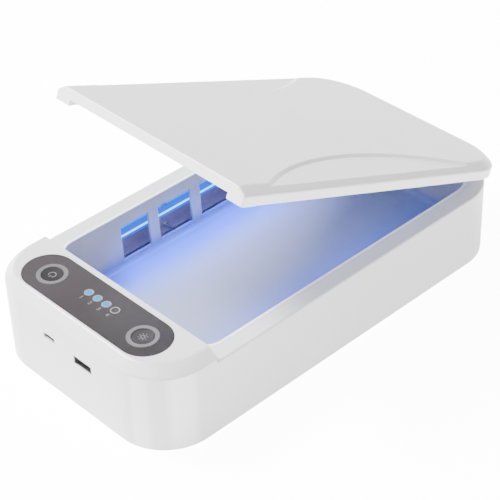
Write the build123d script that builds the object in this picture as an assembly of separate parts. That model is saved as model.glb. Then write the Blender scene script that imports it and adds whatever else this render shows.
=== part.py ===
from build123d import *
import os
from math import cos, radians, sin, tan

# UV sanitizer box for phones, with its lid held part open.
# Frame: millimetres, +Z up, with the resting plane at zero.
# +X points to the hinge end, -X to the control end, +Y and -Y to the two long sides.
# The sizes below are laid out about the middle of the casing. At the end, everything moves along X
# so that the origin is under the middle of the whole object, open lid included.

# ---------------------------------------------------------------- outer casing
casing_length = 223.0
casing_width = 120.0
casing_corner_radius = 26.0
casing_wall = 2.2
wall_height = 38.3            # casing underside to the ledge that the lid rests on
block_height = 44.8           # casing underside to the top of the control block
block_length = 33.5           # control end to the step down to the ledge
block_top_thickness = 2.6
ledge_thickness = 2.2
ledge_edge_radius = 1.0
block_facet = (4.6, 4.6)      # sloped facet round the block's top edge: inwards, downwards
lid_facet = (4.8, 2.9)        # the same round the lid's top edge
facet_top_radius = 3.0
facet_foot_radius = 1.6
block_inner_facet = 2.8
foot_height = 1.2             # how far the rubber feet stand below the casing

# ---------------------------------------------------------------- cavity tray
lip_inset = 9.5               # casing side to the inner face of the tray's rim
tray_wall = 1.4
tray_floor_height = 9.5       # casing underside to the tray's floor
tray_floor_thickness = 1.4
tray_front_radius = 9.5       # plan radius of the inner corners beside the control block
tray_draft = 3.5              # degrees
tray_rim_height = 4.2         # upright part of the wall, below the ledge's level
tray_floor_fillet = 2.5
tray_fit = 0.15               # gap between the tray's rim and the opening in the ledge
flange_reach = 4.4            # how far the tray's mounting rails reach under the ledge
flange_thickness = 1.6
flange_front_setback = 13.0   # control block to the rails' front end
flange_rear_setback = 36.5    # rails' rear end to the casing's rear face

# lamp windows in both long walls
window_end_width = 17.4       # the first and the last window
window_inner_count = 2        # windows between them, which share what is left of the run
window_gap = 6.0
window_setback = 39.3         # control block to the first window
window_rear_setback = 55.4     # last window to the casing's rear face
window_low = 12.5             # above the casing underside
window_high = 31.4

# ---------------------------------------------------------------- lamps
lamp_radius = 2.4
lamp_height = 23.3            # lamp axis above the casing underside
lamp_overlap = 16.0           # lamp length past the window run at each end
reflector_thickness = 0.4
reflector_overlap = 6.0       # reflector length past the window run at each end
reflector_lip = 5.6           # depth of the folded edges
socket_length = 12.0
socket_height = 7.6
socket_bore_depth = 5.0
socket_tray_gap = 0.25
lamp_bore_gap = 0.05
clip_thickness = 0.35
clip_offset = 8.2             # from the second window's front edge
clip_width = 1.6
clip_foot_length = 5.4
clip_foot_height = 0.7        # foot above the reflector's folded edge
lead_radius = 0.6
lead_bend = 4.0
lead_run_height = 6.3         # above the casing underside
near_lead_setback = 25.5      # from the control end, as are the setbacks below
far_lead_setback = 19.5
lead_tail = 6.0               # straight run out of a lamp socket
lead_slope_end = 40.0         # distance from the middle where the sloping run ends

# ---------------------------------------------------------------- bottom cover, feet, screws
cover_thickness = 2.5
cover_gap = 0.15
foot_radius = 6.0
foot_seat_depth = 0.8
foot_end_inset = 23.5
foot_side_inset = 20.0
foot_edge = 0.4
boss_radius = 2.5
boss_tray_gap = 0.3           # corner boss to the rounded corner of the tray's rim
thread_radius = 1.1
thread_gap = 0.03
screw_passing_gap = 0.25
screw_head_radius = 2.2
screw_head_height = 1.1
head_seat_gap = 0.2
cover_screw_length = 9.0
tip_gap = 0.5                 # empty depth left past a screw's tip
small_thread_radius = 0.9
small_head_radius = 1.8
small_head_height = 1.0

# ---------------------------------------------------------------- control panel
panel_width = 24.8
panel_length = 90.4
panel_y = 0.7                 # middle of the panel against the middle of the casing
panel_thickness = 1.0
panel_recess = 1.1
panel_gap = 0.1
panel_setback = 5.9           # control end to the panel's near edge
button_spacing = 61.6
button_x_shift = -0.2         # button centres against the middle of the panel
key_radius = 4.9
key_gap = 0.25
key_travel = 0.5
key_dish_radius = 40.0
key_flange_radius = 6.3
key_flange_thickness = 0.8
key_flange_gap = 0.1
key_stem_radius = 1.9
ring_width = 2.2
ring_seat = 0.5
ring_proud = 0.25
indicator_pitch = 5.9
indicator_count = 4
lit_indicators = 3
indicator_x_shift = 2.9       # indicator row against the middle of the panel
lens_radius = 1.75
bezel_width = 0.5
bezel_proud = 0.1
trim_gap = 0.02
pipe_gap = 0.2
baffle_width = 7.0
baffle_margin = 1.2
baffle_bore_gap = 0.4

# ---------------------------------------------------------------- circuit boards
board_thickness = 1.6
display_board_drop = 6.7      # block ceiling to the display board's top
display_board_width = 24.0
display_board_length = 84.0
display_board_corner = 6.0
display_board_shift = -1.4    # board centre against the middle of the panel
power_board_drop = 11.75      # block ceiling to the power board's underside
power_board_width = 25.0
power_board_length = 46.0
board_wall_gap = 0.3
post_radius = 2.5
post_front_setback = 7.5
post_rear_setback = 26.0
post_end_inset = 3.5          # main posts from the power board's ends
end_post_setback = 25.5
end_post_inset = 4.0          # end posts from the display board's ends
post_thread_depth = 5.0
switch_size = 6.0
switch_height = 3.5
plunger_radius = 1.7
plunger_proud = 1.0
plunger_length = 2.2
plunger_bore_depth = 2.0
led_size = 2.8
led_height = 1.0
header_size = (2.5, 12.0)
header_setback = 15.0
chip_size = (7.0, 6.0, 1.5)
chip_setback = 9.5
inductor_size = (6.5, 6.5, 3.0)
inductor_setback = 20.5
inductor_y = 7.0
sensor_size = (2.5, 4.0, 4.5)
sensor_setback = 27.0
driver_board_size = (22.0, 50.0)
driver_board_setback = 16.5
driver_standoff_height = 3.0
driver_standoff_inset = 3.0
transformer_size = (12.0, 14.0, 9.0)
transformer_y = 10.0
capacitor_radius = 3.2
capacitor_height = 9.0
capacitor_y = -9.0

# ---------------------------------------------------------------- sockets in the control end
usb_a_y = -10.0
usb_a_opening = (12.0, 4.6)
usb_a_shell = (13.6, 6.4)
usb_a_depth = 14.0
usb_a_tongue = (11.0, 2.0)
usb_a_tongue_setback = 0.3
usb_a_tongue_gap = 0.2         # tongue to the top of the mouth
usb_a_lip = 0.6               # casing wall left in front of the socket
micro_usb_y = 12.8
micro_usb_opening = (6.9, 1.8)
micro_usb_shell = (7.6, 2.5)
micro_usb_depth = 5.6
micro_usb_tongue = (3.8, 0.6)
micro_usb_tongue_setback = 0.8
micro_usb_corner = 0.7
socket_cutout_gap = 0.2
socket_setback = 0.6          # micro USB face behind the casing's outer face
socket_wall_gap = 0.1         # USB A face behind the lip
socket_back_wall = 1.2

# ---------------------------------------------------------------- hinge
hinge_inset = 2.7             # hinge axis inside the casing's rear face
hinge_drop = 8.0              # hinge axis below the ledge
hinge_barrel_radius = 2.6
hinge_pin_radius = 1.1
hinge_pin_gap = 0.05
hinge_arm_width = 16.0
hinge_y = 32.0
hinge_side_gap = 0.4
hinge_slot_gap = 0.5
hinge_lug = 4.0
hinge_pocket_wall = 1.2
pin_end_gap = 0.4
lid_open_angle = 22.5         # degrees, the lid as it stands at rest

# ---------------------------------------------------------------- lid
lid_thickness = 7.4
lid_gap = 0.25                 # lid underside above the ledge when it is shut
lid_front_gap = 0.4           # lid to the control block when it is shut
lid_wall = 2.2
lid_top_thickness = 2.2
lid_inner_facet = 3.3
lid_front_edge = 1.0
lid_pad_height = 0.2          # pads under the lid's front corners, which meet the ledge
lid_pad_length = 8.0
rail_width = 9.4              # solid-looking border of the lid's underside
rail_sheet = 1.6
lid_centre_rise = 2.6         # underside of the lid's middle above that of its border
lid_fit = 0.12
lid_panel_thickness = 1.6
crescent_shift = -8.0         # crescent's middle against the lid's middle
crescent_reach = 22.8
crescent_radius = 128.0
crescent_depth = 1.0
crescent_slope_width = 1.8
magnet_size = (4.0, 10.0, 0.9)
magnet_setback = 1.5
lid_boss_radius = 2.6
lid_screw_front_inset = 22.6
lid_screw_rear_inset = 31.5
lid_screw_side_inset = 28.0
lid_screw_length = 3.2

# ---------------------------------------------------------------- levels and limits
cut_margin = 1.0              # how far a cutting body runs past what it cuts
x_front = -casing_length / 2
x_rear = casing_length / 2
x_block = x_front + block_length
y_side = casing_width / 2
x_corner = x_rear - casing_corner_radius
y_corner = y_side - casing_corner_radius
inner_radius = casing_corner_radius - casing_wall

z_base = foot_height
z_cover = z_base + cover_thickness
z_ledge = z_base + wall_height
z_ledge_under = z_ledge - ledge_thickness
z_block = z_base + block_height
z_ceiling = z_block - block_top_thickness
z_panel_seat = z_block - panel_recess
z_panel = z_panel_seat + panel_thickness
z_lid = z_ledge + lid_gap
z_lid_top = z_lid + lid_thickness

panel_x = x_front + panel_setback + panel_width / 2
button_x = panel_x + button_x_shift
indicator_x = panel_x + indicator_x_shift
button_ys = {"power": button_spacing / 2, "mode": -button_spacing / 2}
indicator_ys = [indicator_pitch * ((indicator_count - 1) / 2 - n) for n in range(indicator_count)]

rim_x_front = x_block + tray_fit
rim_x_rear = x_rear - lip_inset + tray_wall
rim_width = casing_width - 2 * (lip_inset - tray_wall)
rim_front_radius = tray_front_radius + tray_wall
rim_rear_radius = casing_corner_radius - lip_inset + tray_wall
z_tray_floor = z_base + tray_floor_height
z_tray_under = z_tray_floor - tray_floor_thickness
z_rim_foot = z_ledge - tray_rim_height

boss_pitch_radius = rim_rear_radius + boss_tray_gap + boss_radius

window_start = x_block + window_setback
window_end = x_rear - window_rear_setback
window_inner_width = (window_end - window_start - 2 * window_end_width
                      - (window_inner_count + 1) * window_gap) / window_inner_count
window_widths = (window_end_width, *[window_inner_width] * window_inner_count, window_end_width)
lamp_y = y_side - casing_wall - reflector_thickness - clip_thickness - lamp_bore_gap - lamp_radius
z_lamp = z_base + lamp_height
lamp_front = window_start - lamp_overlap
lamp_rear = window_end + lamp_overlap

z_display = z_ceiling - display_board_drop
z_display_under = z_display - board_thickness
z_power_under = z_ceiling - power_board_drop
z_power = z_power_under + board_thickness
z_driver_under = z_cover + driver_standoff_height
z_driver = z_driver_under + board_thickness
display_x = panel_x + display_board_shift
power_x = x_front + casing_wall + board_wall_gap + power_board_width / 2
x_micro_face = x_front + socket_setback
x_usb_a_face = x_front + usb_a_lip + socket_wall_gap

hinge_x = x_rear - hinge_inset
z_hinge = z_ledge - hinge_drop
hinge_ys = (-hinge_y, hinge_y)
lid_front = x_block + lid_front_gap
lid_middle = (lid_front + x_rear) / 2
lid_cavity_top = z_lid_top - lid_top_thickness
z_lid_panel = z_lid + lid_centre_rise
z_lid_panel_top = z_lid_panel + lid_panel_thickness

corner_bosses = [
    (sx * (x_corner + boss_pitch_radius * cos(radians(45))), sy * (y_corner + boss_pitch_radius * sin(radians(45))))
    for sx in (-1, 1) for sy in (-1, 1)
]
post_y = power_board_length / 2 - post_end_inset
end_post_y = display_board_length / 2 - end_post_inset
driver_board_x = x_front + driver_board_setback
flange_front = x_block + flange_front_setback
flange_rear = x_rear - flange_rear_setback
main_posts = [(x_front + setback, sy * post_y) for setback in (post_front_setback, post_rear_setback)
              for sy in (-1, 1)]
end_posts = [(x_front + end_post_setback, sy * end_post_y) for sy in (-1, 1)]
tray_screw_points = [
    (x, sy * (rim_width / 2 + flange_reach / 2))
    for x in (flange_front + flange_reach, flange_rear - flange_reach) for sy in (-1, 1)
]
lid_screw_front = lid_front + lid_screw_front_inset
lid_screw_rear = x_rear - lid_screw_rear_inset
lid_screw_points = [
    (x, sy * (y_side - lid_screw_side_inset))
    for x in (lid_screw_front, (lid_screw_front + lid_screw_rear) / 2, lid_screw_rear) for sy in (-1, 1)
]
driver_points = [
    (driver_board_x + sx * (driver_board_size[0] / 2 - driver_standoff_inset),
     sy * (driver_board_size[1] / 2 - driver_standoff_inset))
    for sx in (-1, 1) for sy in (-1, 1)
]


# ---------------------------------------------------------------- helpers
def span(x_low, x_high, y_low, y_high, z_low, z_high):
    """A box between two limits on each axis."""
    middle = Pos((x_low + x_high) / 2, (y_low + y_high) / 2, (z_low + z_high) / 2)
    return middle * Box(x_high - x_low, y_high - y_low, z_high - z_low)


def block_on(x, y, z_low, size):
    """A box of the given size standing on a level, centred on a point."""
    return Pos(x, y, z_low + size[2] / 2) * Box(*size)


def rod(x, y, z_low, z_high, radius):
    """An upright cylinder between two levels."""
    return Pos(x, y, (z_low + z_high) / 2) * Cylinder(radius, z_high - z_low)


def rod_x(y, z, x_low, x_high, radius):
    """A cylinder along X between two limits."""
    return Pos((x_low + x_high) / 2, y, z) * Rot(0, 90, 0) * Cylinder(radius, x_high - x_low)


def rod_y(x, z, y_low, y_high, radius):
    """A cylinder along Y between two limits."""
    return Pos(x, (y_low + y_high) / 2, z) * Rot(90, 0, 0) * Cylinder(radius, y_high - y_low)


def outline(x_low, x_high, width, front_radius, rear_radius):
    """A rectangle about the X axis with its front and rear corners rounded."""
    face = Pos((x_low + x_high) / 2, 0) * Rectangle(x_high - x_low, width)
    if front_radius > 0:
        face = fillet(face.vertices().group_by(Axis.X)[0], front_radius)
    if rear_radius > 0:
        face = fillet(face.vertices().group_by(Axis.X)[-1], rear_radius)
    return face


def plate(x_low, x_high, width, front_radius, rear_radius, z_low, z_high):
    """An upright-sided plate between two levels."""
    face = outline(x_low, x_high, width, front_radius, rear_radius)
    return Pos(0, 0, z_low) * extrude(face, z_high - z_low)


def drafted_plate(x_low, x_high, width, front_radius, rear_radius, z_low, z_high):
    """A plate whose sides draw in downwards by the tray's draft; the sizes are those of its top."""
    shrink = (z_high - z_low) * tan(radians(tray_draft))
    face = outline(x_low + shrink, x_high - shrink, width - 2 * shrink, front_radius - shrink, rear_radius - shrink)
    return Pos(0, 0, z_low) * extrude(face, z_high - z_low, taper=-tray_draft)


def edges_at(solid, z, x_skip):
    """The level edges of a solid at one height, without those that lie on the plane X = x_skip."""
    tolerance = 0.001
    level = [e for e in solid.edges() if abs(e.bounding_box().min.Z - z) < tolerance
             and abs(e.bounding_box().max.Z - z) < tolerance]
    return [e for e in level if abs(e.bounding_box().max.X - x_skip) > tolerance
            or abs(e.bounding_box().min.X - x_skip) > tolerance]


def with_soft_rim(solid, z_top, x_face, facet):
    """Cuts the sloped facet round the outer top edge and rounds both of its edges."""
    inward, downward = facet
    top_face = solid.faces().sort_by(Axis.Z)[-1]
    solid = chamfer(edges_at(solid, z_top, x_face), inward, downward, reference=top_face)
    solid = fillet(edges_at(solid, z_top, x_face), facet_top_radius)
    return fillet(edges_at(solid, z_top - downward, x_face), facet_foot_radius)


def screw(x, y, z_seat, length, direction, radius, head_radius, head_height):
    """A screw whose head bears on z_seat and whose shank runs up (1) or down (-1) from there."""
    tip = z_seat + direction * length
    shank = rod(x, y, min(z_seat, tip), max(z_seat, tip), radius)
    head_end = z_seat - direction * head_height
    head = rod(x, y, min(z_seat, head_end), max(z_seat, head_end), head_radius)
    slot = block_on(x, y, min(head_end, head_end + direction * head_height / 2),
                    (head_radius * 1.4, head_radius / 4, head_height / 2))
    return shank + head - slot


def opened(shape):
    """A lid piece swung from its shut place to the angle it stands at."""
    return shape.rotate(Axis((hinge_x, 0, z_hinge), (0, 1, 0)), lid_open_angle)


# ---------------------------------------------------------------- casing and tray
def outer_casing():
    lower = plate(x_block, x_rear, casing_width, 0, casing_corner_radius, z_base, z_ledge)
    lower = fillet(edges_at(lower, z_ledge, x_block), ledge_edge_radius)
    block = plate(x_front, x_block, casing_width, casing_corner_radius, 0, z_base, z_block)
    block = with_soft_rim(block, z_block, x_block, block_facet)
    casing = lower + block

    inner_width = casing_width - 2 * casing_wall
    casing -= plate(x_front + casing_wall, x_rear - casing_wall, inner_width, inner_radius, inner_radius,
                    z_base - cut_margin, z_ledge_under)
    hollow = plate(x_front + casing_wall, x_block - casing_wall, inner_width, inner_radius, 0,
                   z_base - cut_margin, z_ceiling)
    casing -= chamfer(edges_at(hollow, z_ceiling, x_block - casing_wall), block_inner_facet)
    casing -= plate(x_block, rim_x_rear + tray_fit, rim_width + 2 * tray_fit,
                    rim_front_radius + tray_fit, rim_rear_radius + tray_fit,
                    z_ledge_under - cut_margin, z_ledge + cut_margin)

    for x, y in corner_bosses:
        top = z_ceiling if x < 0 else z_ledge_under
        casing += rod(x, y, z_cover, top, boss_radius)
        casing -= rod(x, y, z_cover - cut_margin, z_cover + cover_screw_length, thread_radius + thread_gap)
    for x, y in main_posts + end_posts:
        casing += rod(x, y, z_display, z_ceiling, post_radius)
        casing -= rod(x, y, z_display - cut_margin, z_display + post_thread_depth, small_thread_radius + thread_gap)
    for x, y in tray_screw_points:
        casing -= rod(x, y, z_ledge_under - cut_margin, z_ledge_under + ledge_thickness - tip_gap,
                      small_thread_radius + thread_gap)

    casing -= Pos(0, 0, z_panel_seat) * extrude(panel_outline(panel_gap), panel_recess + cut_margin)
    for y in button_ys.values():
        casing -= rod(button_x, y, z_ceiling - cut_margin, z_block, key_radius + key_gap)
    for y in indicator_ys:
        casing -= rod(indicator_x, y, z_ceiling - cut_margin, z_block, lens_radius + pipe_gap)

    casing -= socket_cutout(usb_a_y, z_usb_a, usb_a_opening, 0, 0)
    casing -= block_on(x_front + (usb_a_lip + casing_wall) / 2 + cut_margin / 2, usb_a_y,
                       z_usb_a - usb_a_shell[1] / 2 - socket_cutout_gap,
                       (casing_wall - usb_a_lip + cut_margin, usb_a_shell[0] + 2 * socket_cutout_gap,
                        usb_a_shell[1] + 2 * socket_cutout_gap))
    casing -= socket_cutout(micro_usb_y, z_micro_usb, micro_usb_shell, micro_usb_corner, socket_cutout_gap)
    for y in hinge_ys:
        casing = with_hinge_pocket(casing, y)
    return casing


def socket_cutout(y, z, opening, corner, gap):
    size = (opening[0] + 2 * gap, opening[1] + 2 * gap)
    profile = Rectangle(*size)
    if corner > 0:
        profile = RectangleRounded(*size, corner)
    face = Plane(origin=(x_front - cut_margin, y, z), x_dir=(0, 1, 0), z_dir=(1, 0, 0)) * profile
    return extrude(face, casing_wall + 2 * cut_margin)


def with_hinge_pocket(casing, y):
    """Adds the closed pocket for a hinge arm behind the rear wall, its two pin lugs and its pin bore."""
    half_slot = hinge_arm_width / 2 + hinge_side_gap
    slot_front = hinge_x - hinge_barrel_radius - hinge_slot_gap
    slot_floor = z_hinge - hinge_barrel_radius - hinge_slot_gap
    half_pocket = half_slot + hinge_lug
    casing += span(slot_front - hinge_pocket_wall, x_rear - casing_wall / 2, y - half_pocket, y + half_pocket,
                   slot_floor - hinge_pocket_wall, z_ledge_under + ledge_thickness / 2)
    casing -= span(slot_front, x_rear + cut_margin, y - half_slot, y + half_slot, slot_floor, z_ledge + cut_margin)
    bore = rod_y(hinge_x, z_hinge, y - half_pocket, y + half_pocket, hinge_pin_radius + hinge_pin_gap)
    return casing - bore


def cavity_tray():
    rim = plate(rim_x_front, rim_x_rear, rim_width, rim_front_radius, rim_rear_radius, z_rim_foot, z_ledge)
    tray = rim + drafted_plate(rim_x_front, rim_x_rear, rim_width, rim_front_radius, rim_rear_radius,
                               z_tray_under, z_rim_foot)
    flange_y = rim_width / 2 + flange_reach
    bar = span(flange_front, flange_rear, -flange_y, flange_y, z_ledge_under - flange_thickness, z_ledge_under)
    tray += bar
    for x, y in tray_screw_points:
        tray -= rod(x, y, z_rim_foot, z_ledge_under + cut_margin, small_thread_radius + screw_passing_gap)

    inner = (rim_x_front + tray_wall, rim_x_rear - tray_wall, rim_width - 2 * tray_wall,
             tray_front_radius, rim_rear_radius - tray_wall)
    tray -= plate(*inner, z_rim_foot, z_ledge + cut_margin)
    well = drafted_plate(*inner, z_tray_floor, z_rim_foot)
    tray -= fillet(well.edges().group_by(Axis.Z)[0], tray_floor_fillet)
    for x_low, x_high in window_spans():
        tray -= span(x_low, x_high, -y_side, y_side, z_base + window_low, z_base + window_high)
    return tray


def window_spans():
    """The limits along X of each lamp window."""
    spans = []
    x = window_start
    for width in window_widths:
        spans.append((x, x + width))
        x += width + window_gap
    return spans


def bottom_cover():
    inset = casing_wall + cover_gap
    radius = casing_corner_radius - inset
    cover = plate(x_front + inset, x_rear - inset, casing_width - 2 * inset, radius, radius, z_base, z_cover)
    for x, y in corner_bosses:
        cover -= rod(x, y, z_base - cut_margin, z_cover + cut_margin, thread_radius + screw_passing_gap)
        cover -= rod(x, y, z_base - cut_margin, z_base + head_seat_gap + screw_head_height,
                     screw_head_radius + screw_passing_gap)
    for x, y in foot_points():
        cover -= rod(x, y, z_base - cut_margin, z_base + foot_seat_depth, foot_radius)
    for x, y in driver_points:
        cover += rod(x, y, z_cover, z_driver_under, post_radius)
        cover -= rod(x, y, z_base + cover_thickness / 2, z_driver_under + cut_margin,
                     small_thread_radius + thread_gap)
    return cover


def foot_points():
    return [(sx * (x_rear - foot_end_inset), sy * (y_side - foot_side_inset)) for sx in (-1, 1) for sy in (-1, 1)]


def rubber_feet():
    feet = []
    for x, y in foot_points():
        foot = rod(x, y, 0, z_base + foot_seat_depth, foot_radius)
        feet.append(fillet(foot.edges().group_by(Axis.Z)[0], foot_edge))
    return Compound(feet)


# ---------------------------------------------------------------- lamps
def lamp_tube(side):
    tube = rod_x(side * lamp_y, z_lamp, lamp_front, lamp_rear, lamp_radius)
    return fillet(tube.edges(), lamp_radius / 2)


def lamp_reflector(side):
    """A folded sheet behind the lamp: a back on the casing wall and a folded edge above and below."""
    back_y = y_side - casing_wall
    z_low = z_base + window_low - reflector_thickness
    z_high = z_base + window_high + reflector_thickness
    x_low = window_start - reflector_overlap
    x_high = window_end + reflector_overlap
    sheet = span(x_low, x_high, back_y - reflector_thickness, back_y, z_low, z_high)
    for z in (z_low, z_high - reflector_thickness):
        sheet += span(x_low, x_high, back_y - reflector_lip, back_y, z, z + reflector_thickness)
    return sheet if side > 0 else sheet.mirror(Plane.XZ)


def lamp_sockets():
    """A moulded socket at each end of each lamp, seated on the casing's side wall."""
    sockets = []
    y_low = rim_width / 2 - (z_rim_foot - z_lamp - socket_height / 2) * tan(radians(tray_draft)) + socket_tray_gap
    for side in (-1, 1):
        for end, x_face in ((-1, lamp_front + socket_bore_depth), (1, lamp_rear - socket_bore_depth)):
            x_back = x_face + end * socket_length
            body = span(min(x_face, x_back), max(x_face, x_back), y_low, y_side - casing_wall,
                        z_lamp - socket_height / 2, z_lamp + socket_height / 2)
            if side < 0:
                body = body.mirror(Plane.XZ)
            x_bottom = x_face + end * socket_bore_depth
            body -= rod_x(side * lamp_y, z_lamp, min(x_face - end, x_bottom), max(x_face - end, x_bottom),
                          lamp_radius + lamp_bore_gap)
            sockets.append(body)
    return Compound(sockets)


def lamp_clips():
    """A bent strip under each lamp's middle: a cradle behind the lamp and a foot along the reflector's floor."""
    clips = []
    back = y_side - casing_wall - reflector_thickness
    floor = z_base + window_low
    foot = floor + clip_foot_height
    outer = lamp_radius + lamp_bore_gap + clip_thickness
    clip_x = window_spans()[1][0] + clip_offset
    for side in (-1, 1):
        strip = rod_x(lamp_y, z_lamp, clip_x, clip_x + clip_width, outer)
        strip -= rod_x(lamp_y, z_lamp, clip_x - cut_margin, clip_x + clip_width + cut_margin,
                       lamp_radius + lamp_bore_gap)
        strip -= span(clip_x - cut_margin, clip_x + clip_width + cut_margin, 0, lamp_y,
                      z_lamp - y_side, z_lamp + y_side)
        strip += span(clip_x, clip_x + clip_width, back - clip_thickness, back, foot, z_lamp)
        strip += span(clip_x, clip_x + clip_width, back - clip_foot_length, back, foot, foot + clip_thickness)
        strip += span(clip_x, clip_x + clip_width, back - clip_foot_length, back - clip_foot_length + clip_thickness,
                      floor, foot + clip_thickness)
        clips.append(strip if side > 0 else strip.mirror(Plane.XZ))
    return Compound(clips)


def lamp_leads():
    """The wires from the driver board to both ends of each lamp."""
    leads = []
    z_run = z_base + lead_run_height
    board_edge = driver_board_size[1] / 2
    x_near = lamp_front + socket_bore_depth - socket_length
    x_far = lamp_rear - socket_bore_depth + socket_length
    near_lead_x = x_front + near_lead_setback
    far_lead_x = x_front + far_lead_setback
    for side in (-1, 1):
        y = side * lamp_y
        near = [(x_near, y, z_lamp), (near_lead_x, y, z_lamp), (near_lead_x, side * lead_slope_end, z_run),
                (near_lead_x, side * board_edge, z_run)]
        far = [(x_far, y, z_lamp), (x_far + lead_tail, y, z_lamp), (x_far + lead_tail, y, z_run),
               (far_lead_x, y, z_run), (far_lead_x, side * board_edge, z_run)]
        for points in (near, far):
            path = FilletPolyline(*points, radius=lead_bend)
            start = Plane(origin=path @ 0, z_dir=path % 0)
            leads.append(sweep(start * Circle(lead_radius), path=path))
    return Compound(leads)


# ---------------------------------------------------------------- control panel
def panel_outline(gap):
    """The panel's long oval, widened by a gap."""
    width = panel_width + 2 * gap
    return Pos(panel_x, panel_y) * Rot(0, 0, 90) * SlotOverall(panel_length + 2 * gap, width)


def control_panel():
    panel = Pos(0, 0, z_panel_seat) * extrude(panel_outline(0), panel_thickness)
    for y in button_ys.values():
        panel -= rod(button_x, y, z_panel_seat - cut_margin, z_panel + cut_margin, key_radius + key_gap)
        panel -= rod(button_x, y, z_panel - ring_seat, z_panel + cut_margin, key_radius + key_gap + ring_width)
    for y in indicator_ys:
        panel -= rod(indicator_x, y, z_panel_seat - cut_margin, z_panel + cut_margin, lens_radius + bezel_width)
    return panel


def button_rings():
    rings = []
    for y in button_ys.values():
        bore = key_radius + key_gap
        ring = rod(button_x, y, z_panel - ring_seat, z_panel + ring_proud, bore + ring_width - trim_gap)
        ring -= rod(button_x, y, z_panel - ring_seat - cut_margin, z_panel + ring_proud + cut_margin, bore)
        top = ring.edges().group_by(Axis.Z)[-1]
        rings.append(chamfer(top, ring_proud * 0.8))
    return Compound(rings)


def button_key(y):
    """A round key with a dished top, a flange that holds it in and a stem down to its switch."""
    z_flange = z_ceiling - key_flange_gap
    z_stem = z_display + switch_height + plunger_proud
    key = rod(button_x, y, z_flange - key_flange_thickness, z_panel, key_radius)
    key += rod(button_x, y, z_flange - key_flange_thickness, z_flange, key_flange_radius)
    key += rod(button_x, y, z_stem, z_flange, key_stem_radius)
    dish_depth = key_dish_radius - (key_dish_radius ** 2 - key_radius ** 2) ** 0.5
    return key - Pos(button_x, y, z_panel - dish_depth + key_dish_radius) * Sphere(key_dish_radius)


def switch_plunger(y):
    z_top = z_display + switch_height + plunger_proud
    return rod(button_x, y, z_top - plunger_length, z_top, plunger_radius)


def switch_bodies():
    bodies = []
    for y in button_ys.values():
        body = block_on(button_x, y, z_display, (switch_size, switch_size, switch_height))
        z_top = z_display + switch_height
        body -= rod(button_x, y, z_top - plunger_bore_depth, z_top + cut_margin, plunger_radius + key_gap)
        bodies.append(body)
    return Compound(bodies)


def indicator_lens(y):
    return rod(indicator_x, y, z_ceiling, z_panel, lens_radius - trim_gap)


def indicator_bezels():
    rings = []
    for y in indicator_ys:
        ring = rod(indicator_x, y, z_panel_seat, z_panel + bezel_proud, lens_radius + bezel_width - trim_gap)
        rings.append(ring - rod(indicator_x, y, z_panel_seat - cut_margin, z_panel + cut_margin, lens_radius))
    return Compound(rings)


def light_baffle():
    """A dark block that keeps each indicator's light to its own lens."""
    length = indicator_pitch * indicator_count + 2 * baffle_margin
    baffle = block_on(indicator_x, 0, z_display, (baffle_width, length, display_board_drop))
    for y in indicator_ys:
        baffle -= rod(indicator_x, y, z_display - cut_margin, z_ceiling + cut_margin,
                      lens_radius + baffle_bore_gap)
    return baffle


def indicator_leds():
    return Compound([block_on(indicator_x, y, z_display, (led_size, led_size, led_height))
                              for y in indicator_ys])


# ---------------------------------------------------------------- boards
def display_board():
    half = display_board_width / 2
    board = plate(display_x - half, display_x + half, display_board_length, display_board_corner, 0,
                  z_display_under, z_display)
    for x, y in main_posts + end_posts:
        board -= rod(x, y, z_display_under - cut_margin, z_display + cut_margin,
                     small_thread_radius + screw_passing_gap)
    return board


def power_board():
    half = power_board_width / 2
    board = span(power_x - half, power_x + half, -power_board_length / 2, power_board_length / 2,
                 z_power_under, z_power)
    for x, y in main_posts:
        board -= rod(x, y, z_power_under - cut_margin, z_power + cut_margin,
                     small_thread_radius + screw_passing_gap)
    return board


def board_spacers():
    spacers = []
    for x, y in main_posts:
        spacer = rod(x, y, z_power, z_display_under, post_radius)
        spacers.append(spacer - rod(x, y, z_power - cut_margin, z_display_under + cut_margin,
                                    small_thread_radius + screw_passing_gap))
    return Compound(spacers)


def driver_board():
    board = block_on(driver_board_x, 0, z_driver_under, (*driver_board_size, board_thickness))
    for x, y in driver_points:
        board -= rod(x, y, z_driver_under - cut_margin, z_driver + cut_margin,
                     small_thread_radius + screw_passing_gap)
    return board


# ---------------------------------------------------------------- sockets
z_usb_a = z_power_under - usb_a_shell[1] / 2
z_micro_usb = z_power_under - micro_usb_shell[1] / 2


def socket_body(x_face, y, z, shell, opening, depth, corner):
    """A metal shell with an open mouth at the control end and a closed back."""
    outer = Rectangle(*shell) if corner == 0 else RectangleRounded(*shell, corner)
    mouth = Rectangle(*opening) if corner == 0 else RectangleRounded(*opening, corner - (shell[1] - opening[1]) / 2)
    face = Plane(origin=(x_face, y, z), x_dir=(0, 1, 0), z_dir=(1, 0, 0))
    body = extrude(face * outer, depth)
    return body - extrude(face * mouth, depth - socket_back_wall)


def socket_tongue(x_face, y, z, tongue, setback, depth):
    face = Plane(origin=(x_face + setback, y, z), x_dir=(0, 1, 0), z_dir=(1, 0, 0))
    return extrude(face * Rectangle(*tongue), depth - socket_back_wall - setback)


# ---------------------------------------------------------------- fasteners
def cover_screws():
    seat = z_base + head_seat_gap + screw_head_height
    length = z_cover - seat + cover_screw_length - tip_gap
    return Compound([screw(x, y, seat, length, 1, thread_radius, screw_head_radius, screw_head_height)
                              for x, y in corner_bosses])


def small_screws(points, seat, length, direction):
    return Compound([screw(x, y, seat, length, direction, small_thread_radius, small_head_radius,
                                    small_head_height) for x, y in points])


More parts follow.
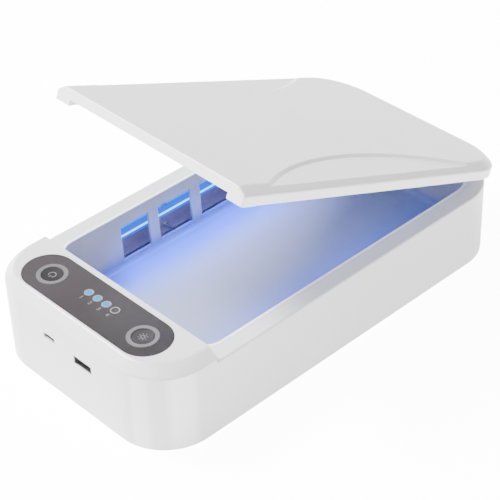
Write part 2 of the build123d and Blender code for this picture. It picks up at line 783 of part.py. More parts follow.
# ---------------------------------------------------------------- lid
def lid_shell():
    lid = plate(lid_front, x_rear, casing_width, 0, casing_corner_radius, z_lid, z_lid_top)
    lid = with_soft_rim(lid, z_lid_top, lid_front, lid_facet)
    lid = fillet(lid.faces().sort_by(Axis.Z)[-1].edges().sort_by(Axis.X)[0], lid_front_edge)
    cavity = plate(lid_front + lid_wall, x_rear - lid_wall, casing_width - 2 * lid_wall, 0,
                   casing_corner_radius - lid_wall, z_lid - cut_margin, lid_cavity_top)
    lid -= chamfer(edges_at(cavity, lid_cavity_top, lid_front + lid_wall), lid_inner_facet)
    half_mouth = y_side - rail_width
    lid -= span(lid_front - cut_margin, lid_front + lid_wall + cut_margin, -half_mouth, half_mouth,
                z_lid - cut_margin, z_lid_panel)
    for side in (-1, 1):
        lid += corner_pad(side)
        centre_y = side * (y_side - crescent_reach + crescent_radius)
        lid -= Pos(lid_middle + crescent_shift, centre_y, z_lid_top - crescent_depth / 2) * Cone(
            crescent_radius, crescent_radius + crescent_slope_width, crescent_depth)
    for x, y in lid_screw_points:
        lid += rod(x, y, z_lid_panel_top, lid_cavity_top + lid_top_thickness / 2, lid_boss_radius)
        lid -= rod(x, y, z_lid_panel_top - cut_margin, z_lid_screw_seat() + lid_screw_length + thread_gap,
                   small_thread_radius + thread_gap)
    for y in hinge_ys:
        half = hinge_arm_width / 2
        lid += span(x_rear - lid_wall, hinge_x + hinge_barrel_radius, y - half, y + half, z_hinge,
                    z_lid + lid_centre_rise)
        lid += rod_y(hinge_x, z_hinge, y - half, y + half, hinge_barrel_radius)
        lid -= rod_y(hinge_x, z_hinge, y - half - cut_margin, y + half + cut_margin,
                     hinge_pin_radius + hinge_pin_gap)
    return lid


def corner_pad(side):
    """The front end of a side wall's lower edge, a little lower than the rest: it meets the ledge."""
    pad = span(lid_front, lid_front + lid_pad_length, y_side - rail_width, y_side, z_lid - lid_pad_height, z_lid)
    pad -= span(lid_front + lid_wall, lid_front + lid_pad_length + cut_margin, y_side - rail_width - cut_margin,
                y_side - lid_wall, z_lid - cut_margin, z_lid + cut_margin)
    return pad if side > 0 else pad.mirror(Plane.XZ)


def z_lid_screw_seat():
    return z_lid_panel + small_head_height


def lid_inner_panel():
    """The lid's inner plate: a raised middle with a channel-shaped rail along the sides and the rear."""
    edge = lid_wall + lid_fit
    front = lid_front + edge
    radius = casing_corner_radius - edge
    panel = plate(front, x_rear - edge, casing_width - 2 * edge, 0, radius, z_lid, z_lid_panel_top)
    panel -= plate(front - cut_margin, x_rear - rail_width, casing_width - 2 * rail_width, 0,
                   casing_corner_radius - rail_width, z_lid - cut_margin, z_lid_panel)
    web = rail_width - rail_sheet
    ring = plate(front - cut_margin, x_rear, casing_width, 0, casing_corner_radius,
                 z_lid + rail_sheet, z_lid_panel_top + cut_margin)
    ring -= plate(front - 2 * cut_margin, x_rear - web, casing_width - 2 * web, 0, casing_corner_radius - web,
                  z_lid, z_lid_panel_top + 2 * cut_margin)
    panel -= ring
    for x, y in lid_screw_points:
        panel -= rod(x, y, z_lid_panel - cut_margin, z_lid_panel_top + cut_margin,
                     small_thread_radius + screw_passing_gap)
        panel -= rod(x, y, z_lid_panel - cut_margin, z_lid_screw_seat(), small_head_radius + screw_passing_gap)
    return panel


def lid_magnet():
    x = lid_front + lid_wall + lid_fit + magnet_setback + magnet_size[0] / 2
    return block_on(x, 0, z_lid_panel_top, magnet_size)


def hinge_pins():
    half = hinge_arm_width / 2 + hinge_side_gap + hinge_lug - pin_end_gap
    return Compound([rod_y(hinge_x, z_hinge, y - half, y + half, hinge_pin_radius) for y in hinge_ys])


# ---------------------------------------------------------------- all pieces by name
pieces = {
    "outer_casing": outer_casing(),
    "cavity_tray": cavity_tray(),
    "bottom_cover": bottom_cover(),
    "rubber_feet": rubber_feet(),
    "lamp_tube_left": lamp_tube(1),
    "lamp_tube_right": lamp_tube(-1),
    "lamp_reflector_left": lamp_reflector(1),
    "lamp_reflector_right": lamp_reflector(-1),
    "lamp_sockets": lamp_sockets(),
    "lamp_clips": lamp_clips(),
    "lamp_leads": lamp_leads(),
    "control_panel": control_panel(),
    "button_rings": button_rings(),
    "power_button_key": button_key(button_ys["power"]),
    "mode_button_key": button_key(button_ys["mode"]),
    "power_switch_plunger": switch_plunger(button_ys["power"]),
    "mode_switch_plunger": switch_plunger(button_ys["mode"]),
    "switch_bodies": switch_bodies(),
    "lit_indicator_lenses": Compound([indicator_lens(y) for y in indicator_ys[:lit_indicators]]),
    "unlit_indicator_lenses": Compound([indicator_lens(y) for y in indicator_ys[lit_indicators:]]),
    "indicator_bezels": indicator_bezels(),
    "indicator_leds": indicator_leds(),
    "light_baffle": light_baffle(),
    "display_board": display_board(),
    "power_board": power_board(),
    "board_spacers": board_spacers(),
    "board_header": block_on(x_front + header_setback, 0, z_power, (*header_size, z_display_under - z_power)),
    "controller_chip": block_on(x_front + chip_setback, 0, z_display, chip_size),
    "power_inductor": block_on(x_front + inductor_setback, inductor_y, z_power_under - inductor_size[2],
                               inductor_size),
    "lid_sensor": block_on(x_front + sensor_setback, 0, z_display, sensor_size),
    "driver_board": driver_board(),
    "driver_transformer": block_on(driver_board_x, transformer_y, z_driver, transformer_size),
    "driver_capacitor": rod(driver_board_x, capacitor_y, z_driver, z_driver + capacitor_height, capacitor_radius),
    "usb_a_socket": socket_body(x_usb_a_face, usb_a_y, z_usb_a, usb_a_shell, usb_a_opening, usb_a_depth, 0),
    "usb_a_tongue": socket_tongue(x_usb_a_face, usb_a_y,
                                  z_usb_a + (usb_a_opening[1] - usb_a_tongue[1]) / 2 - usb_a_tongue_gap,
                                  usb_a_tongue, usb_a_tongue_setback, usb_a_depth),
    "micro_usb_socket": socket_body(x_micro_face, micro_usb_y, z_micro_usb, micro_usb_shell,
                                    micro_usb_opening, micro_usb_depth, micro_usb_corner),
    "micro_usb_tongue": socket_tongue(x_micro_face, micro_usb_y, z_micro_usb, micro_usb_tongue,
                                      micro_usb_tongue_setback, micro_usb_depth),
    "cover_screws": cover_screws(),
    "tray_screws": small_screws(tray_screw_points, z_ledge_under - flange_thickness,
                                flange_thickness + ledge_thickness - 2 * tip_gap, 1),
    "board_screws": small_screws(main_posts, z_power_under, z_display - z_power_under + post_thread_depth - tip_gap, 1),
    "board_end_screws": small_screws(end_posts, z_display_under, board_thickness + post_thread_depth - tip_gap, 1),
    "driver_screws": small_screws(driver_points, z_driver, board_thickness + driver_standoff_height, -1),
    "hinge_pins": hinge_pins(),
    "lid_shell": opened(lid_shell()),
    "lid_inner_panel": opened(lid_inner_panel()),
    "lid_magnet": opened(lid_magnet()),
    "lid_screws": opened(small_screws(lid_screw_points, z_lid_screw_seat(), lid_screw_length, 1)),
}

x_middle = (x_front + pieces["lid_shell"].bounding_box().max.X) / 2

os.makedirs("parts", exist_ok=True)
for name, shape in pieces.items():
    shape.label = name
    shape.move(Location((-x_middle, 0, 0)))
    export_step(shape, f"parts/{name}.step")
print(f"hinge axis at x {hinge_x - x_middle:.4f}, z {z_hinge:.4f}; casing middle at x {-x_middle:.4f}")
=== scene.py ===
import bpy
import math
from mathutils import Matrix, Vector


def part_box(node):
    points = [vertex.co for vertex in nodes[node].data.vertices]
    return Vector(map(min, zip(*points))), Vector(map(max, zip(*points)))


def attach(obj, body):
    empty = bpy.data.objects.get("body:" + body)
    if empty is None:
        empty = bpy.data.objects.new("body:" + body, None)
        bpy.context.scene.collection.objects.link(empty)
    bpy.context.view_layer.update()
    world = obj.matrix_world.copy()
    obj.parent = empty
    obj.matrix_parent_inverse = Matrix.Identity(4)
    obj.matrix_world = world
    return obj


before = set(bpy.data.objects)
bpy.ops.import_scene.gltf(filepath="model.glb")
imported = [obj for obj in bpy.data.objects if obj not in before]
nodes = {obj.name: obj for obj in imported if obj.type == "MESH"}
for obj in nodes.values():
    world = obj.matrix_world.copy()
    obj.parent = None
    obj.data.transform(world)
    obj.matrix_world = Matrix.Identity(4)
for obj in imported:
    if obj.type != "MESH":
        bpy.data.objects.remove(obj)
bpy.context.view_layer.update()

MM = 0.001
case_low, case_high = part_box("outer_casing")
CASE_MIDDLE_X = (case_low[0] + case_high[0]) / 2
LID_OPEN = math.radians(22.5)       # the lid's angle at rest
TRAY_FLOOR_Z = 10.7 * MM

# signs and numbers printed on the keys and the panel
INK_THICKNESS = 0.05 * MM
KEY_DISH = 0.27 * MM                # the keys' faces lie this far below their rims
POWER_STROKE = 0.38 * MM
POWER_RADIUS = 1.7 * MM
MODE_STROKE = 0.34 * MM
MODE_RADIUS = 0.95 * MM
MODE_RAY = (1.6 * MM, 2.3 * MM)     # a ray's inner and outer end
MODE_RAYS = 8
NUMBER_HEIGHT = 2.9 * MM
NUMBER_BOLD = 0.04 * MM
NUMBER_RISE = 0.02 * MM
NUMBER_OFFSET = 4.4 * MM            # from the row of indicators, toward the control end
NUMBER_COUNT = 4

# The sprung contacts on the sockets' tongues: count, pitch, half width, setback and thickness.
USB_A_CONTACTS = (4, 2.2 * MM, 0.5 * MM, 0.5 * MM, 0.12 * MM)
MICRO_USB_CONTACTS = (5, 0.65 * MM, 0.17 * MM, 0.2 * MM, 0.06 * MM)

FLOOR_HALF = 6.0
FLOOR_GLOW = 2.8                    # on the object
FLOOR_GLOW_SEEN = 12.0              # to the camera
SKY_LOW, SKY_HIGH = 0.20, 0.92      # at the horizon and high up
SKY_LEFT, SKY_RIGHT = 1.02, 0.75    # share of that on each side
WASH_COLOR = (0.05, 0.16, 1.0)
WASH_POWER = 0.045
WASH_SIZE = (0.115, 0.006)
WASH_SPREAD = math.radians(110)
WASH_INSET = 6.5 * MM               # from the lamp's axis to the window


# ---------------------------------------------------------------- material helpers
class Mat:
    """A node material with short calls for its procedural parts."""

    def __init__(self, name, color, rough=0.4, **inputs):
        self.mat = bpy.data.materials.new(name)
        self.mat.use_nodes = True
        self.nt = self.mat.node_tree
        self.bsdf = self.nt.nodes["Principled BSDF"]
        self.bsdf.inputs["Base Color"].default_value = (*color, 1)
        self.bsdf.inputs["Roughness"].default_value = rough
        for key, value in inputs.items():
            self.bsdf.inputs[key.replace("_", " ")].default_value = value
        self.coord = self.add("ShaderNodeTexCoord").outputs["Object"]

    def add(self, kind, **settings):
        node = self.nt.nodes.new(kind)
        for key, value in settings.items():
            setattr(node, key, value)
        return node

    def link(self, a, b):
        self.nt.links.new(a, b)

    def mapped(self, scale):
        """The piece's coordinates, stretched by a factor along each axis."""
        node = self.add("ShaderNodeMapping")
        node.inputs["Scale"].default_value = scale
        self.link(self.coord, node.inputs["Vector"])
        return node.outputs["Vector"]

    def noise(self, scale, detail=3.0, rough=0.55, vector=None):
        node = self.add("ShaderNodeTexNoise")
        node.inputs["Scale"].default_value = scale
        node.inputs["Detail"].default_value = detail
        node.inputs["Roughness"].default_value = rough
        self.link(vector or self.coord, node.inputs["Vector"])
        return node.outputs["Fac"]

    def voronoi(self, scale, feature="F1"):
        node = self.add("ShaderNodeTexVoronoi", feature=feature)
        node.inputs["Scale"].default_value = scale
        self.link(self.coord, node.inputs["Vector"])
        return node.outputs["Distance"]

    def rings(self, scale):
        """Fine circles round the Z axis."""
        node = self.add("ShaderNodeTexWave", wave_type="RINGS", rings_direction="Z")
        node.inputs["Scale"].default_value = scale
        node.inputs["Distortion"].default_value = 0.0
        self.link(self.coord, node.inputs["Vector"])
        return node.outputs["Fac"]

    def facing(self, direction):
        """How far the surface faces a direction fixed to the piece, from -1 to 1."""
        node = self.add("ShaderNodeVectorMath", operation="DOT_PRODUCT")
        node.inputs[1].default_value = direction
        self.link(self.add("ShaderNodeTexCoord").outputs["Normal"], node.inputs[0])
        return node.outputs["Value"]

    def split(self):
        """The piece's coordinates as X, Y and Z."""
        node = self.add("ShaderNodeSeparateXYZ")
        self.link(self.coord, node.inputs[0])
        return node.outputs

    def math(self, operation, a, b=None):
        node = self.add("ShaderNodeMath", operation=operation)
        self.link(a, node.inputs[0])
        if isinstance(b, (int, float)):
            node.inputs[1].default_value = b
        elif b is not None:
            self.link(b, node.inputs[1])
        return node.outputs[0]

    def times(self, a, b):
        return self.math("MULTIPLY", a, b)

    def off(self, value, middle):
        """The distance from a middle value, on either side."""
        return self.math("ABSOLUTE", self.math("SUBTRACT", value, middle))

    def span(self, value, low, high, out_low, out_high):
        """Maps low..high to out_low..out_high, and stays within them."""
        node = self.add("ShaderNodeMapRange")
        node.inputs["From Min"].default_value = low
        node.inputs["From Max"].default_value = high
        node.inputs["To Min"].default_value = out_low
        node.inputs["To Max"].default_value = out_high
        self.link(value, node.inputs["Value"])
        return node.outputs["Result"]

    def mix(self, factor, a, b):
        node = self.add("ShaderNodeMix", data_type="RGBA")
        node.inputs[6].default_value = (*a, 1)
        node.inputs[7].default_value = (*b, 1)
        self.link(factor, node.inputs[0])
        return node.outputs[2]

    def color(self, factor, a, b, low=0.35, high=0.65):
        """Sets the base colour to a drift from a to b."""
        mixed = self.mix(self.span(factor, low, high, 0, 1), a, b)
        self.link(mixed, self.bsdf.inputs["Base Color"])

    def over(self, factor, color):
        """Lays another colour over the present base colour."""
        below = self.bsdf.inputs["Base Color"].links[0].from_socket
        node = self.add("ShaderNodeMix", data_type="RGBA")
        node.inputs[7].default_value = (*color, 1)
        self.link(below, node.inputs[6])
        self.link(factor, node.inputs[0])
        self.link(node.outputs[2], self.bsdf.inputs["Base Color"])

    def glow(self, factor, a, b, strength=1.0):
        """Sets the emission to a drift from a to b."""
        self.link(self.mix(factor, a, b), self.bsdf.inputs["Emission Color"])
        self.bsdf.inputs["Emission Strength"].default_value = strength

    def roughness(self, factor, low, high):
        self.link(self.span(factor, 0.3, 0.7, low, high), self.bsdf.inputs["Roughness"])

    def bump(self, height, strength, distance):
        node = self.add("ShaderNodeBump")
        node.inputs["Strength"].default_value = strength
        node.inputs["Distance"].default_value = distance
        self.link(height, node.inputs["Height"])
        self.link(node.outputs["Normal"], self.bsdf.inputs["Normal"])


def plastic(name, light, dark, rough, grain=900.0, bump=0.08, coat=0.0, coat_rough=0.1):
    """Injection-moulded plastic: slow tone drift, fine grain and a soft sheen."""
    m = Mat(name, light, rough, Coat_Weight=coat, Coat_Roughness=coat_rough)
    m.color(m.noise(14.0, 4.0), light, dark)
    m.roughness(m.noise(60.0, 3.0), rough - 0.04, rough + 0.05)
    m.bump(m.noise(grain, 2.0, 0.6), bump, 0.00004)
    return m


def moulded(*args, **settings):
    return plastic(*args, **settings).mat


def metal(name, light, dark, rough, brush=(1, 1, 1)):
    """Brushed or plated metal with fine drawn lines."""
    m = Mat(name, light, rough, Metallic=1.0)
    lines = m.noise(1500.0, 2.0, 0.6, m.mapped(brush))
    m.color(lines, light, dark, 0.3, 0.7)
    m.roughness(lines, rough - 0.05, rough + 0.08)
    m.bump(lines, 0.12, 0.00003)
    return m.mat


# ---------------------------------------------------------------- casing, lid and tray
# Casing: the bevels carry a painted highlight, a shade lighter than the fine-textured faces,
# and the rounded corner nearest the camera carries two soft upright painted highlights.
m = plastic("casing_white", (0.71, 0.71, 0.715), (0.69, 0.69, 0.695), 0.33, coat=0.25, coat_rough=0.16)
upward = m.facing((0, 0, 1))
bevel = m.times(m.span(upward, 0.15, 0.6, 0, 1), m.span(upward, 0.75, 0.97, 1, 0))
# painted highlight: the sloping bevels made lighter
m.over(bevel, (0.90, 0.90, 0.905))
# painted highlights: two soft upright bands on the near corner
m.over(m.span(m.facing((-0.914, -0.407, 0)), 0.980, 0.997, 0, 0.8), (0.93, 0.93, 0.935))
m.over(m.span(m.facing((-0.407, -0.914, 0)), 0.955, 0.990, 0, 0.8), (0.93, 0.93, 0.935))
white = m.mat

# Lid: its edges and slopes carry a painted highlight, lighter than its flat top.
m = plastic("lid_white", (0.77, 0.77, 0.775), (0.75, 0.75, 0.755), 0.34, coat=0.2, coat_rough=0.18)
flat = m.math("ABSOLUTE", m.facing((math.sin(LID_OPEN), 0, math.cos(LID_OPEN))))
# painted highlight on the edges and slopes
m.over(m.span(flat, 0.45, 0.95, 1, 0), (0.96, 0.96, 0.965))
lid_white = m.mat

# Tray: light grey, with a painted shade darkening its floor and a painted highlight on its lip. The lamps'
# light is painted as a blue cast round the windows, low on the walls and on the floor along both long
# walls.
tray_low, tray_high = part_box("cavity_tray")
lamp_low, lamp_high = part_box("lamp_tube_left")
lamp_x = (lamp_low[0] + lamp_high[0]) / 2
lamp_z = (lamp_low[2] + lamp_high[2]) / 2

m = plastic("tray_grey", (0.52, 0.52, 0.525), (0.49, 0.49, 0.495), 0.38, grain=700.0)
x, y, z = m.split()
off_centre = m.math("ABSOLUTE", y)
# painted shade: the floor made darker
m.over(m.span(z, TRAY_FLOOR_Z + 0.5 * MM, TRAY_FLOOR_Z + 5 * MM, 1, 0), (0.29, 0.305, 0.37))
# painted highlight: a pale band along the lip
m.over(m.span(z, tray_high[2] - 0.7 * MM, tray_high[2] - 0.4 * MM, 0, 1), (0.93, 0.93, 0.94))
# painted blue lamp light, low on the walls and on the floor
painted_blue_cast = m.times(m.span(z, TRAY_FLOOR_Z + 0.5 * MM, TRAY_FLOOR_Z + 8 * MM, 1, 0),
               m.span(off_centre, 0.008, 0.046, 0.1, 0.8))
m.over(painted_blue_cast, (0.10, 0.16, 0.58))

# painted lamp light as emission: a blue cast round the windows and on the floor
window_cast = m.times(m.span(m.off(z, lamp_z), 0.001, 0.011, 0.8, 0),
                      m.span(off_centre, 0.0455, 0.0490, 0, 1))
window_cast = m.times(window_cast, m.span(m.off(x, lamp_x), 0.042, 0.060, 1, 0))
floor_cast = m.times(m.span(z, TRAY_FLOOR_Z, TRAY_FLOOR_Z + 7 * MM, 0.40, 0),
                     m.span(z, TRAY_FLOOR_Z - 1 * MM, TRAY_FLOOR_Z - 0.5 * MM, 0, 1))
floor_cast = m.times(floor_cast, m.span(off_centre, 0.0, 0.045, 0.4, 1))
m.glow(m.math("MAXIMUM", window_cast, floor_cast), (0, 0, 0), (0.01, 0.12, 0.80), 0.6)
tray_grey = m.mat

# ---------------------------------------------------------------- plain plastics and metals
inner_white = moulded("lid_inner_white", (0.80, 0.80, 0.81), (0.76, 0.76, 0.775), 0.45)
cover_white = moulded("cover_white", (0.74, 0.74, 0.75), (0.68, 0.68, 0.69), 0.55, grain=500.0, bump=0.3)
socket_white = moulded("socket_white", (0.75, 0.74, 0.71), (0.68, 0.67, 0.63), 0.5)
wire_white = moulded("wire_white", (0.78, 0.78, 0.76), (0.70, 0.70, 0.67), 0.45)
black_plastic = moulded("black_plastic", (0.020, 0.020, 0.021), (0.032, 0.032, 0.034), 0.5)
plunger_cream = moulded("plunger_cream", (0.72, 0.70, 0.63), (0.64, 0.62, 0.55), 0.5)
led_cream = moulded("led_cream", (0.80, 0.78, 0.66), (0.74, 0.72, 0.58), 0.35)
bezel_silver = moulded("bezel_silver", (0.24, 0.235, 0.24), (0.21, 0.205, 0.21), 0.34)
silver_trim = moulded("silver_trim", (0.115, 0.112, 0.116), (0.10, 0.097, 0.101), 0.36)
steel = metal("steel", (0.60, 0.60, 0.62), (0.50, 0.50, 0.52), 0.32)
spring_steel = metal("spring_steel", (0.66, 0.67, 0.70), (0.55, 0.56, 0.60), 0.26, (1, 12, 1))
socket_metal = metal("socket_metal", (0.62, 0.62, 0.64), (0.52, 0.52, 0.54), 0.30, (12, 1, 1))
can_metal = metal("can_metal", (0.70, 0.71, 0.73), (0.60, 0.61, 0.63), 0.30, (1, 1, 14))
magnet_metal = metal("magnet_metal", (0.68, 0.68, 0.69), (0.58, 0.58, 0.60), 0.22)
gold = metal("contact_gold", (0.86, 0.62, 0.24), (0.72, 0.50, 0.18), 0.28)

# ---------------------------------------------------------------- panel, keys, rubber, boards
# The panel is a dark, warm film, with a painted shade darkening it toward its near end.
m = Mat("panel_dark", (0.042, 0.036, 0.039), 0.30, Specular_IOR_Level=0.3)
m.color(m.noise(9.0, 2.0), (0.044, 0.038, 0.041), (0.038, 0.033, 0.036), 0.2, 0.8)
m.roughness(m.noise(30.0, 2.0), 0.29, 0.31)
# painted shade toward the near end
m.over(m.span(m.split()["Y"], -0.045, 0.030, 0.9, 0), (0.010, 0.008, 0.009))
panel_dark = m.mat

m = Mat("key_dark", (0.020, 0.017, 0.019), 0.36, Specular_IOR_Level=0.35)
m.color(m.noise(30.0, 3.0), (0.022, 0.019, 0.021), (0.017, 0.014, 0.016))
m.roughness(m.noise(90.0, 3.0), 0.32, 0.42)
m.bump(m.rings(1400.0), 0.03, 0.00002)
key_dark = m.mat

m = Mat("rubber_grey", (0.035, 0.035, 0.037), 0.8)
m.color(m.noise(120.0, 4.0), (0.032, 0.032, 0.034), (0.055, 0.055, 0.058))
m.bump(m.voronoi(1400.0), 0.5, 0.0001)
rubber = m.mat

# Circuit boards: solder mask with tracks under it.
m = Mat("board_green", (0.010, 0.10, 0.045), 0.35, Coat_Weight=0.4, Coat_Roughness=0.15)
tracks = m.voronoi(330.0, "DISTANCE_TO_EDGE")
m.color(tracks, (0.020, 0.17, 0.080), (0.008, 0.085, 0.038), 0.02, 0.05)
m.bump(tracks, 0.3, 0.00005)
board_green = m.mat

# ---------------------------------------------------------------- lamps and indicators
# Reflector sheets: polished metal with a painted blue glow of the lamp's light, rising toward its top.
sheet_low, sheet_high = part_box("lamp_reflector_left")
m = Mat("reflector_blue_glow", (0.26, 0.25, 0.34), 0.38, Metallic=0.5)
m.color(m.noise(20.0, 2.0, 0.5, m.mapped((1, 1, 10))), (0.26, 0.25, 0.34), (0.22, 0.21, 0.30))
m.roughness(m.noise(300.0, 2.0, 0.5, m.mapped((0.2, 1, 1))), 0.34, 0.44)
m.bump(m.noise(500.0, 2.0, 0.5, m.mapped((0.1, 1, 1))), 0.05, 0.00002)
# painted light: the lamp's blue glow, stronger toward the top
level = m.span(m.split()["Z"], sheet_low[2] + 1 * MM, sheet_high[2] - 3 * MM, 0, 1)
m.glow(m.math("POWER", level, 1.6), (0.055, 0.050, 0.13), (0.0, 0.13, 1.05))
reflector_blue_glow = m.mat

# Lamp glass: lit from inside, with a bright line a little above the tube's middle.
m = Mat("lamp_lit", (0.01, 0.04, 0.12), 0.12, Specular_IOR_Level=0.25)
m.color(m.noise(60.0, 2.0, 0.5, m.mapped((0.3, 1, 1))), (0.010, 0.040, 0.12), (0.014, 0.050, 0.14))
line_z = lamp_low[2] + 0.64 * (lamp_high[2] - lamp_low[2])
on_line = m.span(m.off(m.split()["Z"], line_z), 0.0001, 0.0006, 1, 0)
m.glow(on_line, (0.0, 0.16, 1.35), (0.4, 2.9, 6.5))
lamp_lit = m.mat

m = Mat("lens_lit", (0.01, 0.05, 0.12), 0.45, Specular_IOR_Level=0.2)
m.color(m.noise(400.0, 2.0), (0.010, 0.050, 0.12), (0.014, 0.060, 0.14))
m.glow(m.span(m.voronoi(900.0), 0.0, 0.7, 0, 1), (0.0, 0.56, 1.55), (0.0, 0.46, 1.4))
lens_lit = m.mat

m = Mat("lens_unlit", (0.022, 0.019, 0.021), 0.32)
m.color(m.noise(400.0, 2.0), (0.026, 0.022, 0.025), (0.020, 0.017, 0.019))
m.bump(m.voronoi(900.0), 0.05, 0.00002)
lens_unlit = m.mat

m = Mat("print_grey", (0.16, 0.155, 0.16), 0.5)
m.color(m.noise(900.0, 2.0), (0.17, 0.165, 0.17), (0.145, 0.14, 0.145))
print_grey = m.mat

# ---------------------------------------------------------------- finishes
finishes = {
    "outer_casing": white,
    "lid_shell": lid_white,
    "lid_inner_panel": inner_white,
    "cavity_tray": tray_grey,
    "bottom_cover": cover_white,
    "rubber_feet": rubber,
    "lamp_tube_left": lamp_lit,
    "lamp_tube_right": lamp_lit,
    "lamp_reflector_left": reflector_blue_glow,
    "lamp_reflector_right": reflector_blue_glow,
    "lamp_sockets": socket_white,
    "lamp_clips": spring_steel,
    "lamp_leads": wire_white,
    "control_panel": panel_dark,
    "button_rings": silver_trim,
    "power_button_key": key_dark,
    "mode_button_key": key_dark,
    "power_switch_plunger": plunger_cream,
    "mode_switch_plunger": plunger_cream,
    "switch_bodies": black_plastic,
    "lit_indicator_lenses": lens_lit,
    "unlit_indicator_lenses": lens_unlit,
    "indicator_bezels": bezel_silver,
    "indicator_leds": led_cream,
    "light_baffle": black_plastic,
    "display_board": board_green,
    "power_board": board_green,
    "driver_board": board_green,
    "board_spacers": socket_white,
    "board_header": black_plastic,
    "controller_chip": black_plastic,
    "power_inductor": black_plastic,
    "lid_sensor": black_plastic,
    "driver_transformer": black_plastic,
    "driver_capacitor": can_metal,
    "usb_a_socket": socket_metal,
    "usb_a_tongue": black_plastic,
    "micro_usb_socket": socket_metal,
    "micro_usb_tongue": black_plastic,
    "cover_screws": steel,
    "tray_screws": steel,
    "board_screws": steel,
    "board_end_screws": steel,
    "driver_screws": steel,
    "lid_screws": steel,
    "hinge_pins": steel,
    "lid_magnet": magnet_metal,
}
for name, obj in nodes.items():
    obj.data.materials.clear()
    obj.data.materials.append(finishes[name])


# ---------------------------------------------------------------- small pieces on the CAD
def mesh_piece(name, verts, faces, material, body):
    data = bpy.data.meshes.new(name)
    data.from_pydata([tuple(v) for v in verts], [], faces)
    data.update()
    obj = bpy.data.objects.new(name, data)
    bpy.context.scene.collection.objects.link(obj)
    data.materials.append(material)
    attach(obj, body)
    return obj


def strokes(name, lines, centre, width, thickness, material, body):
    """Flat printed strokes on a level surface, closed where a line ends at its start."""
    verts, faces = [], []
    for line in lines:
        points = [Vector(p) for p in line]
        closed = (points[0] - points[-1]).length < 1e-9
        if closed:
            points = points[:-1]
        count = len(points)
        base = len(verts)
        for i, p in enumerate(points):
            before = points[i - 1] if i > 0 or closed else p
            after = points[(i + 1) % count] if i < count - 1 or closed else p
            along = (after - before).normalized()
            side = Vector((-along.y, along.x)) * width / 2
            for q in (p + side, p - side):
                verts += [(q.x, q.y, 0), (q.x, q.y, thickness)]
        segments = count if closed else count - 1
        for i in range(segments):
            a, b = base + 4 * i, base + 4 * ((i + 1) % count)
            faces += [(a + 1, b + 1, b + 3, a + 3), (a, a + 2, b + 2, b),
                      (a, b, b + 1, a + 1), (a + 2, a + 3, b + 3, b + 2)]
        if not closed:
            end = base + 4 * (count - 1)
            faces += [(base, base + 1, base + 3, base + 2), (end, end + 2, end + 3, end + 1)]
    verts = [Vector(v) + Vector(centre) for v in verts]
    return mesh_piece(name, verts, faces, material, body)


def polar(radius, angle):
    return (radius * math.cos(angle), radius * math.sin(angle))


def arc(radius, start, stop, steps=40):
    """Points from one angle to another, in degrees."""
    return [polar(radius, math.radians(start + (stop - start) * i / steps)) for i in range(steps + 1)]


def key_face(node):
    """The middle of a key's dished face."""
    low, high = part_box(node)
    return ((low[0] + high[0]) / 2, (low[1] + high[1]) / 2, high[2] - KEY_DISH)


# power sign: an open ring and a bar, turned to read from the control end
strokes("power_sign", [arc(POWER_RADIUS, 215, 505), [(-2.1 * MM, 0), (-0.6 * MM, 0)]],
        key_face("power_button_key"), POWER_STROKE, INK_THICKNESS, print_grey, "power_button")

# mode sign: a small ring with rays
rays = [[polar(end, math.tau * n / MODE_RAYS) for end in MODE_RAY] for n in range(MODE_RAYS)]
strokes("mode_sign", [arc(MODE_RADIUS, 0, 360), *rays],
        key_face("mode_button_key"), MODE_STROKE, INK_THICKNESS, print_grey, "mode_button")

# a plain number beside each indicator
panel_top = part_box("control_panel")[1][2]
lens_low, lens_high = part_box("lit_indicator_lenses")
last_low, last_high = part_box("unlit_indicator_lenses")
row_x = (last_low[0] + last_high[0]) / 2
lens_radius = (last_high[1] - last_low[1]) / 2
pitch = (lens_high[1] - lens_low[1] - 2 * lens_radius) / 2
for n in range(NUMBER_COUNT):
    text = bpy.data.curves.new(f"number_{n + 1}", "FONT")
    text.body = str(n + 1)
    text.size = NUMBER_HEIGHT
    text.align_x = "CENTER"
    text.align_y = "CENTER"
    text.extrude = NUMBER_RISE
    text.offset = NUMBER_BOLD
    obj = bpy.data.objects.new(f"number_{n + 1}", text)
    bpy.context.scene.collection.objects.link(obj)
    obj.rotation_euler = (0, 0, math.radians(-90))
    obj.location = (row_x - NUMBER_OFFSET, lens_high[1] - lens_radius - n * pitch, panel_top + NUMBER_RISE)
    text.materials.append(print_grey)
    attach(obj, "base")


def block(name, low, high, material, body):
    """A small block with bevelled edges."""
    xs, ys, zs = zip(low, high)
    verts = [(x, y, z) for x in xs for y in ys for z in zs]
    faces = [(0, 1, 3, 2), (4, 6, 7, 5), (0, 4, 5, 1), (2, 3, 7, 6), (0, 2, 6, 4), (1, 5, 7, 3)]
    obj = mesh_piece(name, verts, faces, material, body)
    bevel = obj.modifiers.new("edge", "BEVEL")
    bevel.width = min(high[i] - low[i] for i in range(3)) * 0.3
    bevel.segments = 2


def contacts(name, tongue, count, pitch, half_width, setback, thickness):
    """Sprung contacts side by side under a socket's tongue."""
    low, high = tongue
    for n in range(count):
        y = (low[1] + high[1]) / 2 + (n - (count - 1) / 2) * pitch
        block(f"{name}_{n + 1}", (low[0] + setback, y - half_width, low[2] - thickness),
              (high[0], y + half_width, low[2]), gold, "base")


contacts("usb_a_contact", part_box("usb_a_tongue"), *USB_A_CONTACTS)
contacts("micro_usb_contact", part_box("micro_usb_tongue"), *MICRO_USB_CONTACTS)

